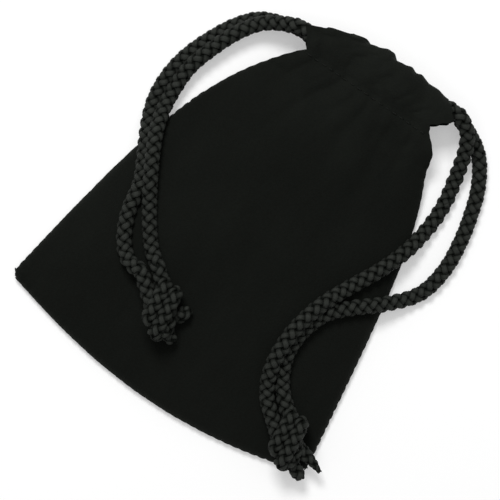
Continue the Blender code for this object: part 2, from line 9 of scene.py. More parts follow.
import bmesh
import bpy
from mathutils import Matrix, Vector, noise
from mathutils.bvhtree import BVHTree
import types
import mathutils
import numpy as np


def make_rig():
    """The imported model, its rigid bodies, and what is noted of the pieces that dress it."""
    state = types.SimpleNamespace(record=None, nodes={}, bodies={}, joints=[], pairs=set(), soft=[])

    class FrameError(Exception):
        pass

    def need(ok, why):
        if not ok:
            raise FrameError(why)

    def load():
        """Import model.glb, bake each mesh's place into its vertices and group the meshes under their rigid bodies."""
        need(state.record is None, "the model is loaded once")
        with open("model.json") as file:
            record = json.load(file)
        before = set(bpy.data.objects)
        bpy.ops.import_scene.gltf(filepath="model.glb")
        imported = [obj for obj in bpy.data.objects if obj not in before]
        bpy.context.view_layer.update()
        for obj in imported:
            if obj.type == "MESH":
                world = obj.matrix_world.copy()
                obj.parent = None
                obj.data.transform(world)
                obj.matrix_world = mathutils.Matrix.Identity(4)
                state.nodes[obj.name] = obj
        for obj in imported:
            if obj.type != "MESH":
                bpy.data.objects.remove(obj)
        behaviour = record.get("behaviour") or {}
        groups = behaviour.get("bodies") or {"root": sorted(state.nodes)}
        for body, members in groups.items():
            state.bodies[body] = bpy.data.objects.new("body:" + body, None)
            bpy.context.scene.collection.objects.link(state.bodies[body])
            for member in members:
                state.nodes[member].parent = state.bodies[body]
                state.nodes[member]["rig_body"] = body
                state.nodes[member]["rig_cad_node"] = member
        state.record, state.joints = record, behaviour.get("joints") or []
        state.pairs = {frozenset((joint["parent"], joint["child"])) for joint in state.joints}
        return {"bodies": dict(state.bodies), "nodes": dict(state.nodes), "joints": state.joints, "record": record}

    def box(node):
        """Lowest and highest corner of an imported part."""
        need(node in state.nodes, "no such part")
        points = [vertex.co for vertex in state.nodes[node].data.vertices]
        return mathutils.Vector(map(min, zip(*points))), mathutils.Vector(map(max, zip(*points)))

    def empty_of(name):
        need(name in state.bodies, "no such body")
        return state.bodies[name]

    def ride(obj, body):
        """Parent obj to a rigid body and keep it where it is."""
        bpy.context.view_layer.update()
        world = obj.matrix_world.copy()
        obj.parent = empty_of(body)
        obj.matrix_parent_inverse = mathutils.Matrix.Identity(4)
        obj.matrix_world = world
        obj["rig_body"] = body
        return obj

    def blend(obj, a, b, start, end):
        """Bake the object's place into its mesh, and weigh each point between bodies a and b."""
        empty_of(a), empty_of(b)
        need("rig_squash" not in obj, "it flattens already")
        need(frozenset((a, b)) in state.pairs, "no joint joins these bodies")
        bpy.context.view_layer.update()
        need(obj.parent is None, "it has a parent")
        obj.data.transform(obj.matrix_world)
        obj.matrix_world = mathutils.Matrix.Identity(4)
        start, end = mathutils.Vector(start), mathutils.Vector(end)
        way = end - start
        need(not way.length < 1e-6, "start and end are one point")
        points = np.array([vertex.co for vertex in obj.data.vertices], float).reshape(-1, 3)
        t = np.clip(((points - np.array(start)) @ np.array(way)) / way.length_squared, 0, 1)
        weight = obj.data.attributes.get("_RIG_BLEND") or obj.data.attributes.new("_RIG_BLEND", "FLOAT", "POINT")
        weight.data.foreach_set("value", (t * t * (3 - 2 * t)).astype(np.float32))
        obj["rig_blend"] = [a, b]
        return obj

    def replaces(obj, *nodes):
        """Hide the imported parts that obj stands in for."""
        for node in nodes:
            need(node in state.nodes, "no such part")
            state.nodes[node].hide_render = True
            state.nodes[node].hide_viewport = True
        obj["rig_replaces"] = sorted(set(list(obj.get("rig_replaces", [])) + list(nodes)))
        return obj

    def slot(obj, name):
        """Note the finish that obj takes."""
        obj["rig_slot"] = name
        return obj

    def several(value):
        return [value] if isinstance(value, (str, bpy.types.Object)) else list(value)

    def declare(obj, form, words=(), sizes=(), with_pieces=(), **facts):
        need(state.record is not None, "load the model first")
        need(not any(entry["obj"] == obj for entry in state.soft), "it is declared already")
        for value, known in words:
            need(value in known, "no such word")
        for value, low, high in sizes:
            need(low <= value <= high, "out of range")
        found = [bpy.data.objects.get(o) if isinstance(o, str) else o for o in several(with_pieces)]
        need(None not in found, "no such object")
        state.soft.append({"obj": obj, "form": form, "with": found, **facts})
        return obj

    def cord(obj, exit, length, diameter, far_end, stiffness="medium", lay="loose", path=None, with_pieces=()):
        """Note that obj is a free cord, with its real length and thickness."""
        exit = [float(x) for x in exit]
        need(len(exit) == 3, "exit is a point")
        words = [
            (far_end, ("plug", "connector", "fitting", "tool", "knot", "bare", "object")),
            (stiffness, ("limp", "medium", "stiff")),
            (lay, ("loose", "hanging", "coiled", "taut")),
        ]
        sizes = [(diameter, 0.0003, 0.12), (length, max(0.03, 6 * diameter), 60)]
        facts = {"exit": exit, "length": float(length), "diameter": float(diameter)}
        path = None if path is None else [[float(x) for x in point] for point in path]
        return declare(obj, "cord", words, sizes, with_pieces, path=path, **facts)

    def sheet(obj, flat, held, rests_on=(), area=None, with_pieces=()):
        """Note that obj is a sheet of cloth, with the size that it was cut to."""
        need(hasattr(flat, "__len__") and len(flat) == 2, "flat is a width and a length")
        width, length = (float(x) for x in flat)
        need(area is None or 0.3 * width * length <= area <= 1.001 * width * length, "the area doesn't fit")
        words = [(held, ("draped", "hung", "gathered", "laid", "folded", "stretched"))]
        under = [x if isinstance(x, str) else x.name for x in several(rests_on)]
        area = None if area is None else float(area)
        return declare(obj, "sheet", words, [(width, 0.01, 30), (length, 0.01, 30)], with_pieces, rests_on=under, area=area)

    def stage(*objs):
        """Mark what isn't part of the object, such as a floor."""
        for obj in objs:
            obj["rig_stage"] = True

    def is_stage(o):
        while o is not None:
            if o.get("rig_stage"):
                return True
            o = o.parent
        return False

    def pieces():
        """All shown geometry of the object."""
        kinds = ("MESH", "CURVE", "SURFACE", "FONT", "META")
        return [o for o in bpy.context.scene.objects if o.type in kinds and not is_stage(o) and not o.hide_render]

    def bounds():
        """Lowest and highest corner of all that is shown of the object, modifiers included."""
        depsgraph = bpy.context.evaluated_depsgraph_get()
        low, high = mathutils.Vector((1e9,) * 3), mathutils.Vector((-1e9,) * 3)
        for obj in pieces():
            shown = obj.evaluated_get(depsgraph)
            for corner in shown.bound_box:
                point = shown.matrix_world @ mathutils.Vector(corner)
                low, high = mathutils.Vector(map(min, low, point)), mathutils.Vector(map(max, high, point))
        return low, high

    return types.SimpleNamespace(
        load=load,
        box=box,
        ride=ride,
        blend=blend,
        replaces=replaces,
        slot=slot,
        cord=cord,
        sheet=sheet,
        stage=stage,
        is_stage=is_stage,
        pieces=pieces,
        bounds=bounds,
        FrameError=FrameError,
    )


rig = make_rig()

MM = 0.001

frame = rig.load()
cad_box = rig.bounds()
bpy.ops.object.select_all(action="DESELECT")

# Cloth, cord and thread
CLOTH = 0.9 * MM
CORD = 4.6 * MM
THREAD = 0.5 * MM
STITCH = 2.8 * MM
SEAM_STITCH_IN = 0.12 * MM
HEM_STITCHES = 17
HEM_STITCH_LIFT = 0.1 * MM

# Outline of the bag, seen from above
BACK_LOW, BACK_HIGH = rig.box("back_panel")
BAG_WIDTH = BACK_HIGH[0] - BACK_LOW[0]
BOTTOM_BOW = 8.6 * MM
Y_CORNER = BACK_LOW[1] + BOTTOM_BOW
Y_NECK = BACK_HIGH[1]
NECK_WIDTH = 42 * MM
NECK_LEAN = 2.85 * MM
NECK_PUFF = 1.8 * MM
SIDE_TAPER = 0.58
LEFT_SIDE_POWER = 1.35
RIGHT_SIDE_POWER = 1.0
SHOULDER_POWER = 6
SHOULDER_LINE = 0.755
Y_SHOULDER = Y_CORNER + SHOULDER_LINE * (Y_NECK - Y_CORNER)
CORNER_ROUND = 2.6 * MM
LEFT_CORNER_PULL = (-1.2 * MM, -0.8 * MM)
CORNER_PULL_REACH = 12 * MM

# Heights of the front cloth at its edges, at the belly and at the neck
EDGE_HEIGHT = 4.2 * MM
BELLY_HEIGHT = 13 * MM
BELLY_START = 0.42
PILLOW_POWER = 2.6
NECK_HEIGHT = 14.3 * MM
NECK_EDGE_HEIGHT = 9.5 * MM
SEAM_HEIGHT = 2.1 * MM
EDGE_ROLL = 2.4 * MM

# Broad and small waves of slack cloth, dents of gathered cloth, and folds that drag from the corners
SLACK_WAVES = (1.1 * MM, 0.38 * MM)
GATHER_DENTS = (1.1 * MM, 0.42 * MM)
DRAG_DEPTH = 0.55 * MM
DRAG_REACH = 20 * MM

# How far stitches draw the edge in, how far front and back dip there, and the furrow below a casing
PUCKER = 0.22 * MM
PUCKER_REACH = 1.4 * MM
FRONT_DIP = 0.5 * MM
BACK_DIP = 0.25 * MM
DIP_REACH = 2.6 * MM
HEM_STITCH_DOWN = 1.0 * MM
FURROW_DEPTH = 0.35 * MM
FURROW_WIDTH = 1.6 * MM

# Creases that the gathers press into the neck: x at the casing, depth, length down the bag, lean
NECK_CREASES = [
    (-13.6, 1.2, 30, 0.10), (-8.2, 0.6, 15, 0.02), (-4.4, 1.5, 46, -0.08), (0.6, 0.7, 19, -0.05),
    (4.4, 1.4, 38, 0.04), (8.6, 0.6, 17, 0.10), (11.9, 1.5, 50, 0.02), (15.2, 0.6, 14, -0.06),
    (17.9, 1.2, 27, -0.12),
]

# Casings: the hem of each panel turned over two cords that lie side by side
LANE = 2.45 * MM
CASING_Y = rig.box("front_casing")[1][1] - 6.55 * MM
CASING_LEFT = -21.35 * MM
CASING_RIGHT = 27.05 * MM
LEFT_TURN = -4.35 * MM
RIGHT_TURN = 16.55 * MM
BACK_CASING_Z = 4.1 * MM
FRONT_CASING_END_Z = 12.6 * MM
FRONT_CASING_MIDDLE_Z = 13.8 * MM
CASING_INSIDE = 3 * MM
RUN_LANE = 0.94 * LANE
RUN_SQUEEZE = 0.82
TURN_PUSH = 3.5
TURN_ROOM = 0.8 * MM

# Section of each hem: across from the casing's middle and out from it in mm, then 0 on the outside
# and 1 on the side that faces into the mouth; both are folded at HEM_FOLD
FRONT_HEM = [
    (-6.85, 1.6, 0), (-5.2, 2.5, 0), (-3.0, 3.2, 0), (-0.4, 3.5, 0), (2.2, 3.3, 0), (4.2, 2.5, 0),
    (5.5, 1.3, 0), (6.0, 0, 0.1), (5.6, -1.4, 0.45), (4.5, -2.5, 0.85), (2.4, -3.3, 1), (-0.4, -3.6, 1),
    (-3.2, -3.4, 1), (-5.3, -2.6, 1), (-6.4, -1.4, 1),
]
BACK_HEM = [
    (-6.85, 3.5, 0), (-5.2, 3.7, 0), (-3.0, 3.8, 0), (-0.4, 3.85, 0), (2.2, 3.6, 0), (4.2, 2.7, 0),
    (5.5, 1.4, 0), (6.0, 0, 0.1), (5.6, -1.3, 0.45), (4.5, -2.4, 0.85), (2.4, -3.2, 1), (-0.4, -3.4, 1),
    (-3.2, -3.0, 1), (-5.3, -1.6, 1), (-6.5, 0.8, 1),
]
HEM_FOLD = 6.0
HEM_ROWS = 44

# Ends of the hems (across, x) and how far their gathered lip stands out (x, across), in mm;
# the lip's x is the hem's at LIP_ACROSS
LEFT_HEM_END = [(-6.85, -18.15), (-4.0, -20.1), (-1.35, -22.0), (1.5, -16.7), (4.35, -9.7), (6.5, -7.2)]
RIGHT_HEM_END = [
    (-6.85, 24.2), (-5.0, 23.2), (-3.0, 25.6), (-0.7, 28.2), (2.2, 26.5), (4.0, 23.9), (6.5, 21.4),
]
LIP = [
    (-9.7, 4.6), (-7.0, 5.4), (-5.0, 4.6), (-2.4, 5.4), (0.0, 6.5), (2.2, 6.5), (4.1, 5.1), (7.3, 5.5),
    (10.0, 6.1), (12.0, 5.4), (14.0, 5.9), (17.1, 5.0), (20.0, 5.1), (23.0, 4.5),
]
LIP_ACROSS = 4.5 * MM

# Columns and rows of the sheets before they are shaped; a panel's hem has rows of its own
FRONT_GRID = (160, 130)
BACK_GRID = (120, 90)
TUCK_GRID = (40, 26)

# The tucks beside the neck
TUCK_START = SHOULDER_LINE + 0.015
TUCK_END = 0.995
TUCK_DEPTH = 4.2 * MM

# The braid: six yarns, three each way
PLAIT = 9.7 * MM
YARNS = 6
RINGS = 24
YARN_ORBIT = 1.5 * MM
YARN_WEAVE = 0.42 * MM
YARN_WIDE = 0.9 * MM
YARN_THICK = 0.56 * MM
YARN_SIDES = 8
CORE = 1.2 * MM
CORE_SIDES = 8
BRAID_REACH = YARN_ORBIT + YARN_WEAVE + YARN_THICK
# Distances from the cord's axis over which a yarn goes from painted shade in its crevices to a painted highlight on
# its crown
CREVICE_SHADE_RADIUS = 1.35 * MM
CROWN_HIGHLIGHT_RADIUS = 2.4 * MM

# Routes of the free strands from casing to knot, x and y in mm
LEFT_BACK_ROUTE = [
    (-28.0, 51.1), (-34.5, 48.3), (-39.2, 43.0), (-42.9, 36.1), (-45.9, 28.2), (-47.2, 20.9),
    (-46.9, 13.3), (-45.1, 7.2), (-42.3, 1.5), (-39.1, -4.1), (-35.8, -10.9), (-34.3, -18.3),
    (-31.9, -24.3), (-28.9, -28.6), (-25.0, -31.2),
]
LEFT_FRONT_ROUTE = [
    (-28.2, 50.4), (-33.5, 46.9), (-37.7, 40.8), (-40.9, 33.2), (-43.2, 25.3), (-43.4, 17.5),
    (-42.5, 10.4), (-40.5, 4.1), (-37.5, -1.9), (-34.2, -7.7), (-30.5, -13.6), (-26.6, -19.3),
    (-22.1, -24.6),
]
RIGHT_BACK_ROUTE = [
    (35.4, 54.9), (39.6, 52.2), (42.8, 48.6), (45.9, 43.1), (47.9, 37.5), (50.1, 28.8), (51.1, 18.6),
    (49.1, 8.8), (42.4, 0.7), (34.9, -5.8), (29.7, -11.5), (27.3, -17.6), (26.6, -23.8), (27.5, -29.1),
    (29.7, -33.9),
]
RIGHT_FRONT_ROUTE = [
    (33.3, 55.0), (36.0, 50.8), (37.6, 45.9), (38.8, 41.3), (40.1, 34.6), (40.3, 26.7), (38.8, 17.2),
    (35.4, 7.8), (31.0, -1.1), (27.6, -8.4), (25.6, -14.6), (24.5, -21.2), (24.5, -26.6), (25.0, -31.2),
    (26.5, -36.4),
]

# Steepest climb of a laid cord, how deep it and a cut end sink into the pile, and the first stretch
# of a front strand, which lifts with the mouth while its last few rings stay with the bag
RAMP = 0.5
SUNK = 0.25 * MM
TAIL_SUNK = 0.2 * MM
LEAD = 34 * MM
LEAD_REST = 10

# The overhand knot of both strands: middle of the pair along, across and up from the knot's middle
# in mm, then the direction from one strand to the other in degrees from along
KNOT_WRAP = [
    (-1.0, 0.0, 0.2, 90), (2.0, 0.0, 0.1, 84), (4.9, -1.5, -0.2, 30), (5.0, -3.8, 0.8, -5),
    (3.6, -3.5, 2.7, 30), (0.2, 0.0, 3.5, 39), (-3.2, 3.4, 2.6, 35), (-4.2, 4.0, 0.2, 30),
    (-3.0, 3.0, -2.1, 37), (0.0, 0.5, -2.8, 60), (3.0, 0.0, -2.8, 84),
]
KNOT_ENTRY = (-9.4, 0, 0)
KNOT_STOP = (-0.5, -0.6, 0.2)
PAIR_GAP = 1.95 * MM
KNOT_SQUEEZE = 0.94
LEFT_HEADING = math.radians(-38)
RIGHT_HEADING = math.radians(-38)

# The two cut ends of each cord, placed as the knot is, and the length over which they narrow
LEFT_TAILS = [
    [(4.2, 3.4, -2.6), (3.8, 5.6, -2.9), (2.8, 7.5, -3.2)],
    [(6.2, -1.3, -2.7), (8.6, -0.6, -3.0), (10.9, 0.3, -3.2)],
]
RIGHT_TAILS = [
    [(6.0, 3.1, -2.4), (9.4, 4.7, -3.0), (13.0, 5.9, -4.0)],
    [(6.6, -1.4, -2.6), (9.8, -0.6, -3.0), (13.2, 0.2, -4.2)],
]
LEFT_TIPS = (2.4 * MM, 2.4 * MM)
RIGHT_TIPS = (7 * MM, 2.4 * MM)

# The view: straight down, with the mouth toward the upper right
VIEW_MIDDLE = (1.15 * MM, -8.7 * MM, 8 * MM)
VIEW_TURN = math.radians(34.5)
VIEW_WIDTH = 144.5 * MM
VIEW_DISTANCE = 0.9
SENSOR_WIDTH = 36


class Shade:
    """A number in a material; arithmetic on it adds Math nodes."""

    def __init__(self, finish, socket):
        self.finish = finish
        self.socket = socket

    def maths(self, operation, first, second):
        return self.finish.node("ShaderNodeMath", {"operation": operation}, {0: first, 1: second})

    def __add__(self, other):
        return self.maths("ADD", self, other)

    def __sub__(self, other):
        return self.maths("SUBTRACT", self, other)

    def __rsub__(self, other):
        return self.maths("SUBTRACT", other, self)

    def __mul__(self, other):
        return self.maths("MULTIPLY", self, other)

    __radd__ = __add__
    __rmul__ = __mul__


class Finish:
    """A material; the constants are values of its shader's own sockets."""

    def __init__(self, name, constants):
        self.material = bpy.data.materials.new(name)
        self.material.use_nodes = True
        self.tree = self.material.node_tree
        self.shader = self.tree.nodes["Principled BSDF"]
        for socket, value in constants.items():
            self.shader.inputs[socket].default_value = value

    def node(self, kind, settings=None, inputs=None, output=0):
        made = self.tree.nodes.new(kind)
        for setting, value in (settings or {}).items():
            setattr(made, setting, value)
        for socket, value in (inputs or {}).items():
            self.put(made.inputs[socket], value)
        return Shade(self, made.outputs[output])

    def put(self, socket, value):
        if isinstance(value, Shade):
            self.tree.links.new(value.socket, socket)
        else:
            socket.default_value = value

    def colour(self, share, low, high):
        """Base colour between two colours."""
        mixed = self.node(
            "ShaderNodeMix", {"data_type": "RGBA"}, {"Factor": share, 6: (*low, 1), 7: (*high, 1)}, 2
        )
        self.put(self.shader.inputs["Base Color"], mixed)

    def bump(self, height, strength, depth):
        raised = self.node(
            "ShaderNodeBump", {}, {"Strength": strength, "Distance": depth, "Height": height}
        )
        self.put(self.shader.inputs["Normal"], raised)


def velveteen(name):
    """Black cotton pile: nearly no shine face on, a soft bloom where it turns away, brushed patches, and painted sheen
    that lightens them toward the neck.
    """
    finish = Finish(
        name,
        {
            "Roughness": 0.95, "Specular IOR Level": 0.1, "Sheen Weight": 0.03,
            "Sheen Roughness": 0.5, "Sheen Tint": (0.86, 0.95, 0.8, 1),
        },
    )
    place = finish.node("ShaderNodeTexCoord", output=3)
    pile = finish.node(
        "ShaderNodeTexNoise", {}, {"Vector": place, "Scale": 1500, "Detail": 2, "Roughness": 0.6}
    )
    brushed_place = finish.node("ShaderNodeMapping", {}, {"Vector": place, "Scale": (1.0, 0.45, 1.0)})
    brushed = finish.node(
        "ShaderNodeTexNoise", {}, {"Vector": brushed_place, "Scale": 95, "Detail": 4, "Roughness": 0.55}
    )
    tufts = finish.node(
        "ShaderNodeTexVoronoi", {"feature": "F1"}, {"Vector": place, "Scale": 1900}
    )
    along = finish.node("ShaderNodeSeparateXYZ", {}, {"Vector": place}, 1)
    gathered = finish.node(
        "ShaderNodeMapRange", {}, {"Value": along, "From Min": Y_SHOULDER, "From Max": Y_NECK}
    )
    # The brushed patches are the pile's own tone; painted sheen makes them lighter from the shoulder to the neck
    patches_and_neck_sheen = (0.55 + 0.75 * gathered) * brushed
    finish.colour(patches_and_neck_sheen + 0.5 * pile - 0.1, (0.0021, 0.0026, 0.0019), (0.0074, 0.0086, 0.007))
    finish.bump(0.8 * pile - 0.6 * tufts + 0.25 * brushed, 0.6, 0.00022)
    return finish.material


def braided_cord(name):
    """Black plaited yarn: fibres along each yarn; painted shade where a yarn dives under the next, a painted highlight
    on each crown.
    """
    finish = Finish(
        name,
        {"Roughness": 0.6, "Specular IOR Level": 0.1, "Specular Tint": (0.9, 1.0, 0.86, 1)},
    )
    painted_crown_light = finish.node("ShaderNodeAttribute", {"attribute_name": "painted_crown_light"}, output=2)
    along = finish.node("ShaderNodeUVMap", {"uv_map": "yarn"})
    stretched = finish.node(
        "ShaderNodeMapping", {},
        {"Vector": along, "Rotation": (0, 0, 0.12), "Scale": (2.2, 26.0, 1.0)},
    )
    fibres = finish.node(
        "ShaderNodeTexNoise", {}, {"Vector": stretched, "Scale": 2.0, "Detail": 3, "Roughness": 0.65}
    )
    # Painted shade and highlight: dark deep between the yarns, light on their crowns; the fibres add the yarn's own
    # tone
    finish.colour(
        1.2 * painted_crown_light * painted_crown_light + 0.8 * fibres - 0.6, (0.0037, 0.0043, 0.0036), (0.0275, 0.0297, 0.0266)
    )
    finish.bump(fibres, 0.9, 0.00022)
    return finish.material


def sewing_thread(name):
    """Twisted black thread."""
    finish = Finish(name, {"Roughness": 0.8, "Specular IOR Level": 0.15})
    place = finish.node("ShaderNodeTexCoord", output=3)
    twist = finish.node(
        "ShaderNodeTexWave", {"bands_direction": "DIAGONAL"},
        {"Vector": place, "Scale": 900, "Distortion": 1.5},
    )
    finish.colour(twist, (0.0036, 0.0042, 0.0033), (0.0088, 0.0101, 0.0083))
    finish.bump(twist, 0.4, 0.00008)
    return finish.material


def ease(value, low, high):
    """Smooth step from 0 at low to 1 at high."""
    share = min(1.0, max(0.0, (value - low) / (high - low)))
    return share * share * (3 - 2 * share)


def side_x(side, t):
    """x of the left (-1) or right (1) edge; t runs from 0 at the bottom corners to 1 at the neck."""
    power = LEFT_SIDE_POWER if side < 0 else RIGHT_SIDE_POWER
    narrowing = SIDE_TAPER * t**power + (1 - SIDE_TAPER) * t**SHOULDER_POWER
    wide = side * BAG_WIDTH / 2
    narrow = NECK_LEAN + side * NECK_WIDTH / 2
    x = wide + (narrow - wide) * narrowing
    if side > 0:
        x += NECK_PUFF * math.exp(-(((t - 0.96) / 0.04) ** 2))
    return x


def half_width(t):
    return (side_x(1, t) - side_x(-1, t)) / 2


def middle_x(t):
    return (side_x(1, t) + side_x(-1, t)) / 2


def bottom_y(u):
    """The bowed bottom edge; u runs from -1 to 1 between the side seams."""
    return Y_CORNER - BOTTOM_BOW * (1 - u * u)


def on_bag(u, t):
    """x and y of the place u across and t along the bag."""
    x = middle_x(t) + u * half_width(t)
    if t >= SHOULDER_LINE:
        return x, Y_CORNER + t * (Y_NECK - Y_CORNER)
    low = bottom_y(u)
    return x, low + t / SHOULDER_LINE * (Y_SHOULDER - low)


def edge_height(t):
    """Height of the front cloth where it starts to roll down to the side seam."""
    return EDGE_HEIGHT + (NECK_EDGE_HEIGHT - EDGE_HEIGHT) * ease(t, SHOULDER_LINE, 1.0)


def front_height(u, t):
    """Height of the front cloth without its creases and rolled edges."""
    rise = 1 - max(0.0, 1 - t / BELLY_START) ** 2
    middle = EDGE_HEIGHT + (BELLY_HEIGHT - EDGE_HEIGHT) * rise
    middle += (NECK_HEIGHT - BELLY_HEIGHT) * ease(t, 0.6, 1.0)
    edge = edge_height(t)
    return edge + (middle - edge) * (1 - abs(u) ** PILLOW_POWER)


def from_side(u, t):
    """Distance from the nearer side seam."""
    side = math.copysign(1, u)
    step = 0.001
    slope = (side_x(side, t) - side_x(side, t + step)) / (step * (Y_NECK - Y_CORNER))
    return (1 - abs(u)) * half_width(t) / math.hypot(1, slope)


def creases(u, t):
    """Depth of the gathers' creases in the neck, which widen and fade toward the body."""
    down = (1 - t) * (Y_NECK - Y_CORNER)
    depth = 0.0
    for x, deep, length, lean in NECK_CREASES:
        left = 1 - down / (length * MM)
        if left > 0:
            place = (x * MM - NECK_LEAN) / (NECK_WIDTH / 2) + lean * down / (20 * MM)
            aside = (u - place) * half_width(t)
            wide = 1.0 * MM + 0.075 * down
            soft = 0.5 * MM + 0.06 * down
            depth += deep * MM * left * (2 - left) * math.exp((soft - math.hypot(aside, soft)) / wide)
    return depth


def slack(x, y):
    """Loose waves of cloth that isn't stretched."""
    broad = noise.noise(Vector((x * 34, y * 30, 0.7)))
    small = noise.noise(Vector((x * 95, y * 70, 5.2)))
    return SLACK_WAVES[0] * broad + SLACK_WAVES[1] * small


def crumple(x, y):
    """Small dents of the cloth where it is gathered, in the neck and the hem."""
    broad = noise.noise(Vector((x / (7 * MM), y / (9 * MM), 3.1)))
    small = noise.noise(Vector((x / (2.6 * MM), y / (3.6 * MM), 8.4)))
    return GATHER_DENTS[0] * broad + GATHER_DENTS[1] * small


def drag_lines(x, y):
    """Folds that fan out of the two bottom corners."""
    total = 0.0
    for side in (-1, 1):
        dx = side * BAG_WIDTH / 2 - x
        dy = y - Y_CORNER
        reach = math.hypot(dx, dy)
        fan = math.cos(8.5 * math.atan2(dy, side * dx) + side)
        total += DRAG_DEPTH * fan * ease(reach, 4 * MM, 14 * MM) * math.exp(-reach / DRAG_REACH)
    return total


def pucker(along, row):
    """How hard each stitch draws the seam in, from 0 to about 1."""
    stitch = 0.5 + 0.5 * math.cos(math.tau * along / STITCH)
    return stitch * (0.75 + 0.6 * noise.noise(Vector((along / (7 * MM), row, 0.3))))


def rolled(distance):
    """Share of the way down a rounded edge at a distance from the seam."""
    out = max(0.0, 1 - distance / EDGE_ROLL)
    return 1 - math.sqrt(max(0.0, 1 - out * out))


def outline_place(u, t):
    """x, y, the distance from the seam and how hard a stitch draws it in, with rounded corners."""
    x, y = on_bag(u, t)
    side = from_side(u, t)
    bottom = y - bottom_y(u)
    inward = math.copysign(1, -u)
    distance = min(side, bottom)
    if u < 0:
        pulled = math.exp(-math.hypot(side, bottom) / CORNER_PULL_REACH)
        x += pulled * LEFT_CORNER_PULL[0]
        y += pulled * LEFT_CORNER_PULL[1]
    if side < CORNER_ROUND and bottom < CORNER_ROUND:
        a = CORNER_ROUND - side
        b = CORNER_ROUND - bottom
        kept = max(a, b) / math.hypot(a, b)
        x += inward * a * (1 - kept)
        y += b * (1 - kept)
        distance = CORNER_ROUND - max(a, b)
    if side < bottom:
        drawn = pucker(y, inward)
        x += inward * PUCKER * drawn * math.exp(-side / PUCKER_REACH)
    else:
        drawn = pucker(x, 0.0)
        y += PUCKER * drawn * math.exp(-bottom / PUCKER_REACH)
    return x, y, distance, drawn


def front_casing_z(x):
    """Height of the front casing's middle line, which arches over the closed mouth."""
    middle = (CASING_LEFT + CASING_RIGHT) / 2
    reach = (CASING_RIGHT - CASING_LEFT) / 2
    arch = max(0.0, 1 - ((x - middle) / reach) ** 2)
    return FRONT_CASING_END_Z + (FRONT_CASING_MIDDLE_Z - FRONT_CASING_END_Z) * arch


def back_casing_z(x):
    return BACK_CASING_Z


def stitch_groove(t):
    """Depth of the shallow furrow that the stitches below a casing draw into the cloth."""
    down = (1 - t) * (Y_NECK - Y_CORNER)
    return FURROW_DEPTH * math.exp(-(((down - HEM_STITCH_DOWN) / FURROW_WIDTH) ** 2))


def front_place(u, t):
    """A point of the front cloth's outer face, up to where its hem starts."""
    x, y, distance, drawn = outline_place(u, t)
    inner = ease(distance, 0, 12 * MM)
    z = front_height(u, t) - creases(u, t) * ease(distance, 0, 4 * MM)
    z += inner * (slack(x, y) + drag_lines(x, y))
    z += ease(distance, 0, 5 * MM) * ease(t, 0.72, 0.96) * crumple(x, y)
    z -= FRONT_DIP * drawn * math.exp(-distance / DIP_REACH)
    z -= (EDGE_HEIGHT - SEAM_HEIGHT) * rolled(distance)
    hem = front_casing_z(x) + FRONT_HEM[0][1] * MM - 0.7 * creases(u, t) + crumple(x, y)
    z += (hem - z) * ease(t, 0.9, 1.0)
    return Vector((x, y, z - stitch_groove(t)))


def back_place(u, t):
    """A point of the back cloth's outer face, which lies on the floor and rolls up to the seam."""
    x, y, distance, drawn = outline_place(u, t)
    z = SEAM_HEIGHT * rolled(distance)
    z += 0.35 * creases(u, t) * ease(distance, 0, 4 * MM)
    z += BACK_DIP * drawn * math.exp(-distance / DIP_REACH)
    hem = BACK_CASING_Z - BACK_HEM[0][1] * MM + 0.3 * creases(u, t)
    z += (hem - z) * ease(t, 0.93, 1.0)
    return Vector((x, y, z + stitch_groove(t)))


def between(points, value):
    """Smooth value between the neighbouring points of a list."""
    before = points[0]
    for point in points[1:]:
        if value <= point[0]:
            return before[1] + (point[1] - before[1]) * ease(value, before[0], point[0])
        before = point
    return before[1]


def hem_x(across, inside, share):
    """x of a place on a hem; inside the mouth it is cut back where a cord turns from front to back."""
    left = between(LEFT_HEM_END, across / MM) * MM
    right = between(RIGHT_HEM_END, across / MM) * MM
    cut_left = max(0.0, LEFT_TURN + TURN_ROOM - left) * ease(across, -2.0 * MM, 0.3 * MM)
    cut_right = max(0.0, right - RIGHT_TURN + TURN_ROOM) * ease(-across, -2.0 * MM, 0.3 * MM)
    left += inside * cut_left
    right -= inside * cut_right
    return left + (right - left) * share


def hem_place(u, section, progress, middle_z, facing):
    """A point of a hem; progress runs from 0 at its stitches round the fold to 1 at its inner edge."""
    share = (u + 1) / 2
    first, out, inside = section
    start = FRONT_HEM[0][0]
    lip = between(LIP, hem_x(LIP_ACROSS, 0, share) / MM)
    across = (start + (first - start) * (lip - start) / (HEM_FOLD - start)) * MM
    inside = min(1.0, max(0.0, inside))
    x = hem_x(across, inside, share)
    out *= MM
    out -= 0.7 * creases(u, 1.0) * (1 - inside) * (1 - ease(progress, 0, 0.5))
    out += min(0.6 * MM, crumple(x, CASING_Y + across + 40 * MM * (facing - 1))) * (1 - inside)
    return Vector((x, CASING_Y + across, max(0.0, middle_z(x) + facing * out)))


def new_grid(name, columns, rows):
    """A flat grid from -1 to 1, whose vertices are then moved to their places."""
    bpy.ops.object.select_all(action="DESELECT")
    bpy.ops.mesh.primitive_grid_add(x_subdivisions=columns, y_subdivisions=rows, size=2)
    piece = bpy.context.object
    piece.name = name
    piece.data.name = name
    return piece


def thicken(piece, thickness, offset=-1.0):
    """Give a sheet its thickness and smooth faces."""
    wall = piece.modifiers.new("cloth thickness", "SOLIDIFY")
    wall.thickness = thickness
    wall.offset = offset
    bpy.context.view_layer.objects.active = piece
    bpy.ops.object.modifier_apply(modifier=wall.name)
    piece.data.shade_smooth()


def wear(piece, material, slot):
    """Give a piece its material and name the slot of the record that it stands for."""
    piece.data.materials.clear()
    piece.data.materials.append(material)
    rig.slot(piece, slot)


